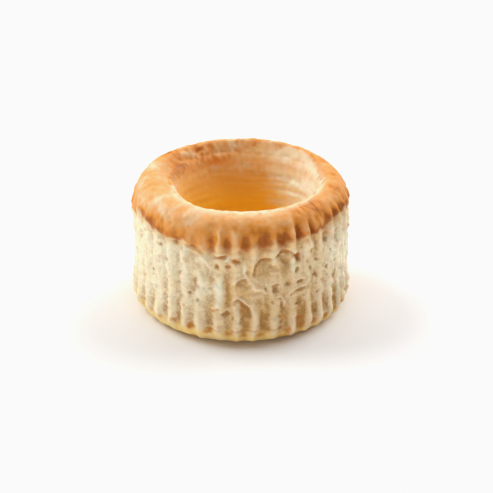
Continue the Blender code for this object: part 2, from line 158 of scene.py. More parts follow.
def drawRings(name, columns, rings):
    # a circle of points, drawn from ring to ring and closed in the middle of the last one
    radius, height = rings[0]
    bpy.ops.object.select_all(action="DESELECT")
    bpy.ops.mesh.primitive_circle_add(vertices=columns, radius=radius * mm, fill_type="NOTHING")
    drawn = bpy.context.object
    drawn.name = drawn.data.name = name
    bpy.ops.object.mode_set(mode="EDIT")
    bpy.ops.mesh.select_mode(type="EDGE")
    bpy.ops.mesh.select_all(action="SELECT")
    bpy.ops.transform.translate(value=(0, 0, height * mm))
    for (oldRadius, oldHeight), (radius, height) in zip(rings, rings[1:]):
        bpy.ops.mesh.extrude_edges_move(TRANSFORM_OT_translate={"value": (0, 0, (height - oldHeight) * mm)})
        scale = radius / oldRadius
        bpy.ops.transform.resize(value=(scale, scale, 1), center_override=(0, 0, 0))
    bpy.ops.mesh.merge(type="CENTER")
    bpy.ops.object.mode_set(mode="OBJECT")
    return drawn


def makeShellForm(form):
    hollow = drawRings("hollow", form["wallColumns"], wallRings(form))
    shell = drawRings("pastryShell", form["columns"], outerRings(form))
    hollow.select_set(True)
    bpy.ops.object.join()
    bpy.ops.object.mode_set(mode="EDIT")
    bpy.ops.mesh.select_mode(type="EDGE")
    bpy.ops.mesh.select_all(action="DESELECT")
    bpy.ops.mesh.select_non_manifold()  # the mouth's two open loops
    bpy.ops.mesh.bridge_edge_loops()
    bpy.ops.mesh.select_all(action="SELECT")
    bpy.ops.mesh.normals_make_consistent(inside=False)
    bpy.ops.object.mode_set(mode="OBJECT")
    return shell


shell = makeShellForm(shellForm)
print("form:", len(shell.data.vertices), "points,", len(shell.data.polygons), "faces")


def pointArrays(mesh):
    # every point's place in mm, and the direction its surface faces
    places, facing = np.empty(len(mesh.vertices) * 3), np.empty(len(mesh.vertices) * 3)
    mesh.vertices.foreach_get("co", places)
    mesh.vertices.foreach_get("normal", facing)
    return places.reshape(-1, 3) / mm, facing.reshape(-1, 3)


def ramp(low, high, values):
    # 0 at low and 1 at high, with soft ends
    shares = np.clip((values - low) / (high - low), 0, 1)
    return shares * shares * (3 - 2 * shares)


def turnsFrom(degrees, turn):
    # how far round from this turn, from -180 to 180
    return (degrees - turn + 180) % 360 - 180


def towards(angles, turn):
    # 1 at this turn and 0 on the far side of the shell (angles in radians, turn in degrees)
    return 0.5 + 0.5 * np.cos(angles - math.radians(turn))


def readOff(degrees, rows):
    # the value at each point, or the values, from rows of (degrees, value, ...)
    turns, *columns = zip(*rows)
    levels = [np.interp(degrees, turns, column) for column in columns]
    return levels if len(levels) > 1 else levels[0]


def noiseOn(points, size, seed=0.0):
    # soft noise from about -0.7 to 0.7, with lumps of this size in mm
    shift = Vector((seed * 3.7, seed * 1.3, seed * 2.1))
    return np.array([noise.noise(Vector(p) + shift) for p in points / size])


def twoNoises(points, sizes, seeds, share=0.5):
    # noise with finer noise in it
    return noiseOn(points, sizes[0], seeds[0]) + share * noiseOn(points, sizes[1], seeds[1])


def cellsOn(points, size):
    # for each point, how far the nearest cell's centre is, and that cell's luck
    result = []
    for p in points / size:
        distances, centres = noise.voronoi(Vector(p))
        result.append((distances[0], noise.cell(centres[0] * 7.3)))
    return np.array(result).T


# The ridges left by the fluted ring, in degrees round from the front. Those not listed are spaced evenly,
# but for a small jitter.
flutes = {
    "shown": (-68.5, -57, -46.8, -38.1, -29.9, -20.9, -10.9, -1.9,
              6.6, 17, 27.8, 36.8, 44.9, 53.8, 62.4, 71.4),
    "count": 38,
    "jitter": 1.2,
    "heights": (0.75, 1.2),
    "depth": 1.4,
    "wander": 1.4,  # degrees
    "bead": 0.4,
    # (degrees, how much of the flutes the rising dough filled halfway up)
    "swell": ((-180, 0.45), (-90, 0.85), (-52, 0.82), (-40, 0.6), (-8, 0.4), (6, 0.85), (34, 0.85),
              (42, 0.75), (56, 0.9), (75, 0.8), (180, 0.45)),
    # (degrees, how narrow the ridges are, how deep they still are in the base ring)
    "shape": ((-180, 1.2, 0.6), (-60, 0.85, 0.6), (-5, 0.9, 0.6), (12, 1.8, 0.75), (60, 1.8, 0.95),
              (100, 1.2, 0.7), (180, 1.2, 0.6)),
    "creaseTurn": 42,  # around here they are deeper under the crust, and reach higher
    "seed": 7,
}


def fluteRidges(flutes):
    draw = random.Random(flutes["seed"])
    shown = flutes["shown"]
    hidden = flutes["count"] - len(shown)
    gap = (360 - shown[-1] + shown[0]) / (hidden + 1)
    spaced = [shown[-1] + gap * (i + 1) + draw.uniform(-1, 1) * flutes["jitter"] for i in range(hidden)]
    ridges = np.array([*shown, *spaced])
    return ridges, np.array([draw.uniform(*flutes["heights"]) for _ in ridges])


def onRidges(degrees, ridges, heights):
    # (1 on a ridge and 0 in a valley, how high the ridges stand there, the nearest ridge's number)
    turned = (degrees - ridges[0]) % 360
    stops = np.append(ridges - ridges[0], 360)
    number = np.interp(turned, stops, np.arange(len(stops)))
    level = np.interp(turned, stops, np.append(heights, heights[0]))
    return 0.5 + 0.5 * np.cos(2 * np.pi * number), level, np.round(number) % len(ridges)


def shapeFlutes(p, degrees, flutes):
    # (how far the flutes stand out in mm, 1 on a ridge and 0 in a valley, the nearest ridge's number)
    z = p.T[2]
    ridges, heights = fluteRidges(flutes)
    crest, strength, number = onRidges(degrees + flutes["wander"] * noiseOn(p, 9, 1), ridges, heights)
    sharpness, ringShare = readOff(degrees, flutes["shape"])
    crest = crest ** sharpness
    # deeper under the crust near the crease, and shallower far from it
    creased = 0.6 + 0.75 * ramp(49, 20, abs(turnsFrom(degrees, flutes["creaseTurn"])))
    ring = ramp(0.5, 2.8, z) * (ringShare + (1 - ringShare) * ramp(4.0, 6.5, z))
    halfway = ramp(9, 16, z) * ramp(34, 29, z)
    swollen = 1 - halfway * np.clip(readOff(degrees, flutes["swell"]) + 0.4 * noiseOn(p, 7, 2), -0.2, 1)
    shoulder = ramp(45, 40.5, z - 1.5 * (creased - 1))
    underCrust = 1 + (creased - 1) * ramp(28, 36, z)
    out = flutes["depth"] * strength * ring * swollen * shoulder * underCrust * (crest - 0.5)
    return out, crest, number


# Edges of lifted flakes on the side. Each is a path of (degrees, height), drawn so that the hollow under the
# flake is to the right of the way it runs: (edge height, edge width, hollow depth, hollow reach, path).
sideFlakes = (
    (0.8, 0.75, 0.6, 4, ((-30.4, 39), (-28.4, 36.8), (-25.4, 35), (-21, 34.4), (-17.7, 32.5), (-16.3, 29.5),
                         (-15.4, 26))),
    (0.3, 0.4, 1, 1.3, ((-27.5, 38.6), (-23, 37.4), (-19, 36.3))),
    (0.3, 0.4, 0.7, 1.4, ((-14.2, 34.5), (-10, 35.6), (-6.2, 35.3))),
    (0.6, 0.4, 0.4, 1, ((-8.6, 32.7), (-6.8, 33.6), (-5, 35))),
    (0.2, 0.4, 0.7, 1.6, ((-5, 34.2), (-2, 34.3), (0.6, 33.4))),
    (0.5, 0.4, 0.9, 2.6, ((-3.6, 24), (-2.7, 25.2), (0, 26.4), (3.2, 26.8))),
    (0.6, 0.45, 0, 1, ((-1, 31.2), (1.3, 31), (2.7, 27.7), (5.4, 24.8), (6.5, 21.9), (10.9, 21.6),
                       (14.8, 19.3))),
    (0.08, 0.5, 0.9, 7, ((5.8, 27), (6.7, 31.2), (9.8, 33.7), (14.2, 33.6), (17, 34.3))),
    (0.08, 0.5, 1.1, 8, ((16.4, 33.6), (18, 35.2), (21.5, 36), (27, 35.2), (31, 33.2), (33.4, 30))),
    (0.4, 0.5, 0, 1, ((27.2, 33), (27, 27.5), (30.6, 24.7))),
    (0.35, 0.6, 0.1, 1.5, ((34.2, 34), (34.6, 27), (38, 21))),
    (0.5, 0.4, 0.6, 1.6, ((24.5, 18.2), (28.5, 20), (32.9, 19.9), (36, 20.2))),
    (0.45, 0.4, 0.4, 1.2, ((18.4, 18), (20.8, 18.2), (22, 16.6), (22, 14))),
    (0.45, 0.4, 0.8, 3, ((14.8, 23), (17.5, 23.9), (20.6, 23.4))),
    (0.6, 0.45, 1, 5, ((-5, 17.6), (-2, 18.8), (1.3, 17.8), (4.6, 15), (6, 11))),
    (0.3, 0.4, 0.9, 2, ((-9.8, 13), (-7.2, 14.2), (-5, 13.4))),
    (0.4, 0.5, 0.5, 2.5, ((47, 37), (50, 38), (54, 36.5), (56, 33))),
    (0.35, 0.45, 0.4, 2, ((-62, 36), (-57, 37.5), (-52, 36.6), (-49, 34))),
    (0.35, 0.45, 0.5, 2, ((-48, 29), (-44, 30.5), (-40, 29))),
    (0.35, 0.45, 0.4, 2, ((-75, 24), (-70, 26), (-65, 24.5))),
)

# Open bubbles in the side: (degrees, height, half width, half height, depth)
sideBubbles = (
    (-26.9, 19.1, 0.9, 0.7, 0.9), (-22.4, 17, 0.7, 1, 0.8), (-23.7, 25, 0.7, 0.8, 0.7),
    (-24.3, 21, 0.7, 1.2, 0.7), (-34.9, 37.8, 1.2, 1, 1), (-44.9, 34.5, 1.2, 0.9, 0.7),
    (-44.3, 43.6, 1.1, 1.3, 0.8), (-28.7, 43.4, 0.9, 0.8, 0.6), (-41.8, 41.4, 1, 0.8, 0.7),
    (-52.5, 22.4, 0.7, 0.7, 0.7), (-60.5, 17.7, 0.5, 0.5, 0.5), (-73.3, 27.7, 0.6, 0.6, 0.5),
    (-41.1, 21.1, 0.6, 0.7, 0.6), (-32.6, 25.9, 0.9, 0.9, 0.6), (-32.7, 22.3, 0.8, 0.8, 0.6),
    (-30.3, 13.8, 0.7, 0.7, 0.6), (-14.9, 28, 0.7, 2.6, 0.7), (-12.1, 31, 1.1, 1, 0.9),
    (-6.6, 31.1, 0.9, 0.9, 0.9), (-8, 26, 0.8, 3.6, 0.5), (0.2, 24.3, 1.5, 1.2, 0.6),
    (0.1, 10.6, 0.7, 1.8, 0.7), (-3.6, 11.6, 0.7, 1.6, 0.6), (17.9, 21.4, 1.6, 1.5, 1.1),
    (31.6, 22.7, 1.6, 0.9, 1), (24.8, 22.7, 1.2, 0.9, 0.9), (29.8, 27.6, 0.9, 1.3, 0.9),
    (37.8, 26.8, 0.9, 1.1, 0.8), (41, 23, 1.3, 0.7, 0.9), (38.6, 33.5, 0.9, 1.3, 0.9),
    (50.1, 24, 0.9, 1.1, 0.9), (53.7, 29.6, 0.7, 0.8, 1.1), (42, 28.8, 1.2, 0.6, 0.7),
    (49.3, 34.8, 1.4, 1.3, 0.9), (35.5, 37.9, 0.9, 1, 0.7), (30.2, 31.8, 1.2, 1.4, 0.5),
    (12.7, 22.1, 0.8, 0.8, 0.5), (30.3, 14.5, 0.6, 0.6, 0.6), (42.7, 16, 0.8, 0.8, 0.6),
    (16.6, 16.7, 0.8, 0.7, 0.5), (23.5, 30.5, 4.4, 4.8, 0.45), (11, 29.6, 3.6, 4.2, 0.4),
    (58, 24.5, 0.6, 0.6, 0.6), (61, 31, 0.7, 0.8, 0.6), (64.5, 19, 0.7, 0.6, 0.6), (66, 36, 0.6, 0.9, 0.5),
    (45.5, 20, 0.5, 0.7, 0.6), (57, 15, 0.6, 0.6, 0.5), (-58, 27, 0.6, 0.6, 0.5), (-65, 32, 0.7, 0.6, 0.5),
    (-50, 16, 0.6, 0.6, 0.5), (-38, 30, 0.6, 0.6, 0.5), (-19, 22, 0.6, 0.8, 0.5), (-55, 12, 0.6, 0.6, 0.5),
)


def measureEdge(arc, height, path):
    # distance to the path, how far below it a point lies (to its right), and how far along it
    nearest = np.full(arc.shape, 1e3)
    below, along = np.zeros(arc.shape), np.zeros(arc.shape)
    lengths = [math.dist(a, b) for a, b in zip(path, path[1:])]
    walked = 0.0
    for (startArc, startHeight), (endArc, endHeight), length in zip(path, path[1:], lengths):
        stepArc, stepHeight = (endArc - startArc) / length, (endHeight - startHeight) / length
        offArc, offHeight = arc - startArc, height - startHeight
        travel = np.clip(offArc * stepArc + offHeight * stepHeight, 0, length)
        distance = np.hypot(offArc - travel * stepArc, offHeight - travel * stepHeight)
        side = stepHeight * offArc - stepArc * offHeight
        closer = distance < nearest
        nearest = np.where(closer, distance, nearest)
        below = np.where(closer, np.sign(side) * distance, below)
        along = np.where(closer, (walked + travel) / sum(lengths), along)
        walked += length
    return nearest, below, along


def raiseFlakes(degrees, height, flakes, arcPerDegree):
    # how far each point stands out on a flake's edge, how far it is sunk under one, and the painted shadow
    # line just under the edge
    edges, hollows, creaseShadows = (np.zeros(degrees.shape) for _ in range(3))
    for rim, rimWidth, hollow, reach, degreesPath in flakes:
        middle = degreesPath[len(degreesPath) // 2][0]
        arc = (turnsFrom(degrees, middle) + middle) * arcPerDegree
        path = [(turn * arcPerDegree, level) for turn, level in degreesPath]
        arcs, levels = zip(*path)
        margin = reach + 2 * rimWidth
        near = np.flatnonzero((arc > min(arcs) - margin) & (arc < max(arcs) + margin)
                              & (height > min(levels) - margin) & (height < max(levels) + margin))
        nearest, below, along = measureEdge(arc[near], height[near], path)
        taper = ramp(0, 0.14, along) * ramp(1, 0.86, along)
        line = np.exp(-((below + 0.5 * rimWidth) / rimWidth) ** 2) * (nearest < 3 * rimWidth)
        under = ramp(-0.1, 0.4, below) * (0.4 * ramp(reach, 0.4 * reach, below) + 0.6 * ramp(1.7, 0.4, below))
        edges[near] = np.maximum(edges[near], rim * line * taper)
        hollows[near] = np.maximum(hollows[near], hollow * under * taper)
        creaseShadow = min(hollow, 1) * np.exp(-((below - 0.15) / 0.3) ** 2) * (nearest < 1)
        creaseShadows[near] = np.maximum(creaseShadows[near], creaseShadow * taper)
    return edges, hollows, creaseShadows


def fromSpot(degrees, height, spot, arcPerDegree):
    # how far across and up from a spot, in its own half widths and half heights
    turn, level, halfWidth, halfHeight = spot
    return turnsFrom(degrees, turn) * arcPerDegree / halfWidth, (height - level) / halfHeight


def openBubbles(degrees, height, bubbles, arcPerDegree):
    sunk = np.zeros(degrees.shape)
    for *spot, depth in bubbles:
        across, up = fromSpot(degrees, height, spot, arcPerDegree)
        near = np.flatnonzero((abs(across) < 1.4) & (abs(up) < 1.4))
        sunk[near] = np.maximum(sunk[near], depth * ramp(1.25, 0.1, np.hypot(across[near], up[near])))
    return sunk


def pinchPleats(degrees, height, pleats, arcPerDegree):
    # upright valleys, deepest low down and running out upwards
    sunk = np.zeros(degrees.shape)
    for *spot, depth in pleats:
        across, up = fromSpot(degrees, height, spot, arcPerDegree)
        near = np.flatnonzero((abs(across) < 1.3) & (abs(up) < 1.3))
        upright = ramp(-1.15, -0.5, up[near]) * ramp(1.15, -0.5, up[near])
        sunk[near] = np.maximum(sunk[near], depth * ramp(1.25, 0.1, abs(across[near])) * upright)
    return sunk


def patchShares(degrees, height, patches, arcPerDegree):
    shares = {}
    for name, spots in patches.items():
        shares[name] = np.zeros(degrees.shape)
        for *spot, amount in spots:
            share = amount * ramp(1.5, 0.1, np.hypot(*fromSpot(degrees, height, spot, arcPerDegree)))
            shares[name] = np.maximum(shares[name], share)
    return shares


# The sides that the front doesn't show have the same flakes and bubbles, scattered in rows.
hiddenSides = {
    "start": 75,  # degrees
    "span": 210,
    "flakes": 34,
    "tops": (35.0, 19.5, 28.0, 14.0, 32.0, 23.0),
    "rim": 0.4,
    "rimWidth": 0.5,
    # each flake's least size in mm, and how much more the largest has
    "halfWidth": (1.8, 5),
    "drop": (3, 6),
    "depths": (0.6, 1.4),
    "bubbles": 420,  # these small ones are all round
    "bubbleSizes": (0.3, 0.75),
    "bubbleHeights": (8, 38),
    "seed": 7,
}


def scatterFlakes(hidden, arcPerDegree):
    draw, ends = random.Random(hidden["seed"]), random.Random(hidden["seed"] + 2)
    flakes = []
    for i in range(hidden["flakes"]):
        middle = hidden["start"] + hidden["span"] * (i + draw.uniform(-0.4, 0.4)) / hidden["flakes"]
        top = hidden["tops"][i % len(hidden["tops"])] + draw.uniform(-2, 2)
        size = draw.uniform(0, 1) ** 1.6
        halfWidth, drop = (least + more * size for least, more in (hidden["halfWidth"], hidden["drop"]))
        depth = draw.uniform(*hidden["depths"])
        tilt = ends.uniform(-0.5, 0.5)
        start, end = -1.1 + ends.uniform(0, 0.7), 1.1 - ends.uniform(0, 0.7)
        path = [(middle + across * halfWidth / arcPerDegree,
                 top - 0.62 * drop * abs(across) ** 3 + tilt * across * halfWidth + ends.uniform(-0.4, 0.4))
                for across in np.linspace(start, end, 7)]
        flakes.append((hidden["rim"], hidden["rimWidth"], 0.75 * depth, drop, path))
    return flakes


def scatterBubbles(hidden):
    draw = random.Random(hidden["seed"] + 1)
    bubbles = []
    for _ in range(hidden["bubbles"]):
        size = draw.uniform(*hidden["bubbleSizes"])
        bubbles.append((draw.uniform(-180, 180), draw.uniform(*hidden["bubbleHeights"]),
                        size, size * draw.uniform(0.8, 1.5), size * draw.uniform(0.2, 0.5)))
    return bubbles


# Where the browned crust ends at the front, in degrees and height.
crustEdge = (
    (-90, 37.5), (-77, 37.8), (-65, 40.4), (-54, 39.1), (-45, 38.2), (-36, 38.4), (-30, 38.8), (-21, 36.2),
    (-13, 37.6), (-6, 38), (2, 37.4), (9, 38.2), (17, 38.4), (25, 38.6), (33, 39.3), (43, 38.9), (51, 39.9),
    (59, 40.9), (66, 41), (80, 39.2),
)

# Pleats pinched into the crust: (degrees, height, half width, half height, depth)
crustPleats = (
    (-30, 41.5, 1.2, 2.4, 0.2), (-22, 39.8, 1.5, 3, 0.35), (-14.6, 40.6, 1.8, 6, 0.45),
    (-6.6, 40.2, 1.8, 6.2, 0.5), (1.7, 39.6, 1.9, 5.6, 0.45), (9.6, 39.6, 1.2, 3, 0.35),
    (13.1, 40.8, 1.5, 3.8, 0.55), (19, 40.6, 1.1, 3.2, 0.5), (23.5, 41.4, 1.6, 4.4, 1),
    (30.2, 42.2, 1.4, 4.6, 1.15), (38.6, 42.6, 1.4, 4.4, 1.1), (44.8, 42.6, 1.1, 4, 0.9),
    (52.4, 42.6, 1.1, 3.8, 0.8), (59, 43.4, 1, 3.2, 0.6), (39, 46.8, 0.8, 1.8, 0.4),
    (34.6, 47, 0.8, 1.8, 0.4), (47, 46.4, 0.7, 1.8, 0.4), (66.5, 42.5, 0.9, 2.8, 0.5),
    (74, 42, 0.9, 2.4, 0.4),
)
# pits in it
crustPits = (
    (-44.5, 42.8, 0.9, 0.9, 0.5), (-39.1, 43, 0.8, 0.8, 0.4), (-28.2, 43.4, 0.9, 0.7, 0.4),
    (-34.5, 37.6, 0.9, 0.9, 0.8), (-24.3, 37.8, 1.6, 0.7, 0.8),
)
# and the narrow ridges between them
crustRidges = (
    (-11.1, 40.2, 0.8, 4.4, 0.7), (-3.2, 40.6, 1.2, 3.6, 0.3), (6.1, 39.8, 1.6, 3.2, 0.25),
    (17.2, 40, 0.9, 3, 0.3), (27, 40.6, 0.9, 3.6, 0.35), (34.2, 41.6, 0.9, 3.8, 0.4),
    (41.8, 42.2, 0.8, 3.6, 0.35), (48.8, 42.4, 0.8, 3.4, 0.3), (56, 43, 0.8, 3, 0.3),
    (-18, 39.8, 0.9, 2.6, 0.25), (-26, 40, 1, 2.4, 0.2),
)

# Patches of the crust that browned more or less: (degrees, radius, half width, half length, how much browner)
crustMarks = (
    (-146.6, 29.5, 3.6, 2, 0.34), (-128, 33.6, 4, 1.8, 0.36), (113, 32.2, 2.6, 1.4, 0.3),
    (-166, 31.5, 4, 2, 0.2), (172, 29, 2.2, 1.6, 0.2), (155, 31, 4.5, 2.6, -0.25), (92, 33.5, 3, 1.6, 0.24),
    (-100, 31.5, 4, 1.6, -0.15),
)

# Patches of the side: rust that toasted, brown that is partly painted shade in valleys and hollows, and pale
# that is partly a painted highlight on lit lumps: (degrees, height, half width, half height, how much)
sidePatches = {
    "rust": (
        (-10.6, 34.6, 2.1, 0.45, 0.9), (-12.1, 30.8, 1.1, 1.4, 0.8), (-6.2, 30.9, 1, 0.9, 0.7),
        (-2.2, 33.6, 1.8, 0.9, 0.8), (-13.8, 14, 1.7, 0.5, 0.7), (7, 29.9, 0.5, 1.8, 0.5),
        (18.6, 34.3, 1.1, 0.7, 0.8), (23.4, 35, 2.4, 0.45, 0.9), (29.8, 33.1, 2.2, 0.9, 0.8),
        (7.6, 31.6, 0.9, 0.8, 0.7), (11.9, 33.3, 2.1, 0.5, 0.7), (38.2, 33.6, 1.2, 1, 0.6),
        (50, 37.4, 1, 1.2, 0.5), (22.4, 10.5, 1.5, 1.4, 0.7), (31.8, 8.5, 1.5, 0.9, 0.8),
        (-41.6, 38.6, 2.4, 0.8, 0.6), (-34.6, 37.6, 1.2, 1.4, 0.7), (-22.3, 36.9, 2.4, 0.8, 0.8),
        (0.5, 14.5, 0.7, 2.6, 0.5),
        # where the ribs end above the golden base
        (-54.9, 5.4, 0.9, 0.8, 0.5), (-46.5, 5.4, 1.2, 0.9, 0.6), (-36.6, 6.4, 1.3, 1.2, 0.9),
        (-26.5, 6.2, 1.5, 1.3, 1), (-16.6, 5.6, 1.6, 1, 1), (-6.9, 4.9, 1.4, 1.2, 0.8),
        (1.8, 4.8, 1.5, 1.3, 0.8), (10.2, 4.6, 1.5, 1.2, 0.8), (24.4, 4.6, 1.2, 1.8, 0.8),
        (32.3, 4.8, 1.3, 2.2, 0.9), (41.2, 5, 1.3, 2, 0.8), (50.3, 3.9, 1.4, 1.3, 1),
        (58.4, 4.2, 1.4, 1.3, 0.9), (68.5, 3.6, 1.5, 1.4, 0.8), (-64, 4.4, 1, 0.9, 0.5),
    ),
    "brown": (
        (-6.6, 23.5, 0.9, 6.3, 0.8), (-14.9, 26.1, 0.8, 3.2, 0.6), (-24, 23.3, 1.1, 2.6, 0.8),
        (-26.8, 19, 1, 0.7, 0.8), (-6, 13.7, 2.2, 0.7, 0.7), (1.9, 23.6, 1.7, 2.1, 0.7),
        (30.1, 31.7, 1.3, 1, 0.6), (22.7, 28.5, 2, 2.9, 0.7), (18.1, 21, 1.5, 2.1, 0.9),
        (24.6, 23.3, 1.9, 1.4, 0.7), (32.1, 22.3, 1.8, 1, 0.7), (39.6, 24.5, 2.6, 2.3, 0.6),
        (7.7, 17.5, 3.1, 2.3, 0.5), (11.8, 25.1, 2.3, 1.1, 0.4), (-45.2, 34.1, 1.7, 1, 0.6),
        (-32.9, 23.8, 1.4, 2.7, 0.5), (-27.8, 32, 1.3, 1.8, 0.5), (-21.1, 31.2, 0.9, 1.7, 0.5),
        (-60.8, 17.7, 0.8, 0.6, 0.6), (-61.5, 11.4, 0.8, 0.6, 0.6), (-51.6, 22.6, 0.8, 0.9, 0.6),
        (-41.3, 21, 0.8, 0.7, 0.6), (-42.9, 15, 0.7, 0.6, 0.6),
    ),
    "pale": (
        (-11, 21.7, 1.8, 6.2, 0.9), (-20, 21.9, 1.7, 4.5, 0.6), (-19.2, 33.2, 1.9, 1.9, 0.6),
        (-6.6, 34, 1, 1.2, 0.8), (1.5, 29.9, 0.9, 2.8, 0.8), (-29.5, 26, 1.3, 5, 0.6),
        (27.4, 29.1, 0.8, 3.8, 0.7), (34.4, 32.8, 1.2, 3.5, 0.6), (-28.3, 36.2, 1.4, 2.4, 0.9),
        (-52.6, 33.2, 2.3, 2.1, 0.6),
    ),
}

# Torn leaves in the wall of the hollow, as the flakes of the side are given.
wallFlakes = (
    (0.5, 0.5, 0.5, 2, ((172, 39.6), (164.8, 38.4), (155.5, 38.7), (144.2, 39.2), (131.2, 38.4),
                        (122, 36.5))),
    (0.5, 0.4, 0.4, 1.5, ((178, 39), (172.4, 40.4), (167, 41.2), (163, 42.6))),
    (0.35, 0.4, 0.3, 1.5, ((200, 41.9), (209, 41.6), (218, 40), (226, 40.5))),
    (0.12, 0.4, 0.1, 1.5, ((221.9, 39.8), (230, 41.4), (237, 43.2))),
    (0.4, 0.5, 0.3, 2, ((163.4, 35.6), (150, 36.6), (138, 38), (126, 39.8))),
    (0.35, 0.5, 0.3, 2, ((160, 31.6), (148, 32), (136, 32.6), (124, 34))),
    (0.35, 0.5, 0.3, 2, ((163.2, 25.7), (152, 27.4), (143.7, 28.6), (130, 29.4), (118, 30))),
    (0.35, 0.4, 0.3, 2, ((184.4, 45.3), (184, 43.6), (183.7, 42))),
)

# How far each form of the relief stands out or is sunk, and the sizes of its lumps, in mm.
relief = {
    "knob": 0.46,
    "knobSize": (2.9, 2.9, 3.4),
    "grain": 0.2,
    "grainSizes": (1.5, 0.8),  # coarse and fine, also of the goosebumps
    "plate": 0.15,
    "plateSize": (4.6, 4.6, 5.4),
    "pitCell": 4.0,
    "pit": 1.1,
    "edge": 0.55,  # how much of a lifted flake's rim stands out
    "slit": 0.35,  # the dark line above the base ring
    "slitHeight": 6.4,
    "slitWidth": 0.32,
    "strata": 0.16,  # the leaves that show above the base ring
    "lump": 0.35,  # on the base ring
    "skin": 0.5,  # the crust's thickness over the side
    "under": 0.35,  # how far the side draws back just under the crust
    "blister": 0.3,
    "blisterSizes": (3.4, 1.7),
    "goosebump": 0.08,
    "wrinkle": 0.07,
    "wrinkleSizes": (1.7, 0.9),
    "slopeBump": 0.45,  # on the slope at the back of the mouth
    "slopeGrain": 0.25,
    "leaf": 0.42,
    "fineLeaf": 0.16,
    "wallSwell": 0.5,
    "wallCrumb": 0.1,
    "floorBump": 0.7,
    "wobble": 0.55,
    "chamfer": 0.5,  # how much of the lip's edge is worn away at the back
    # (degrees, how high up the hollow's wall the crust starts)
    "wallCrust": ((0, 43), (100, 43), (116, 46.5), (166, 46.5), (182, 41.6), (230, 42.4), (262, 43),
                  (360, 43)),
}


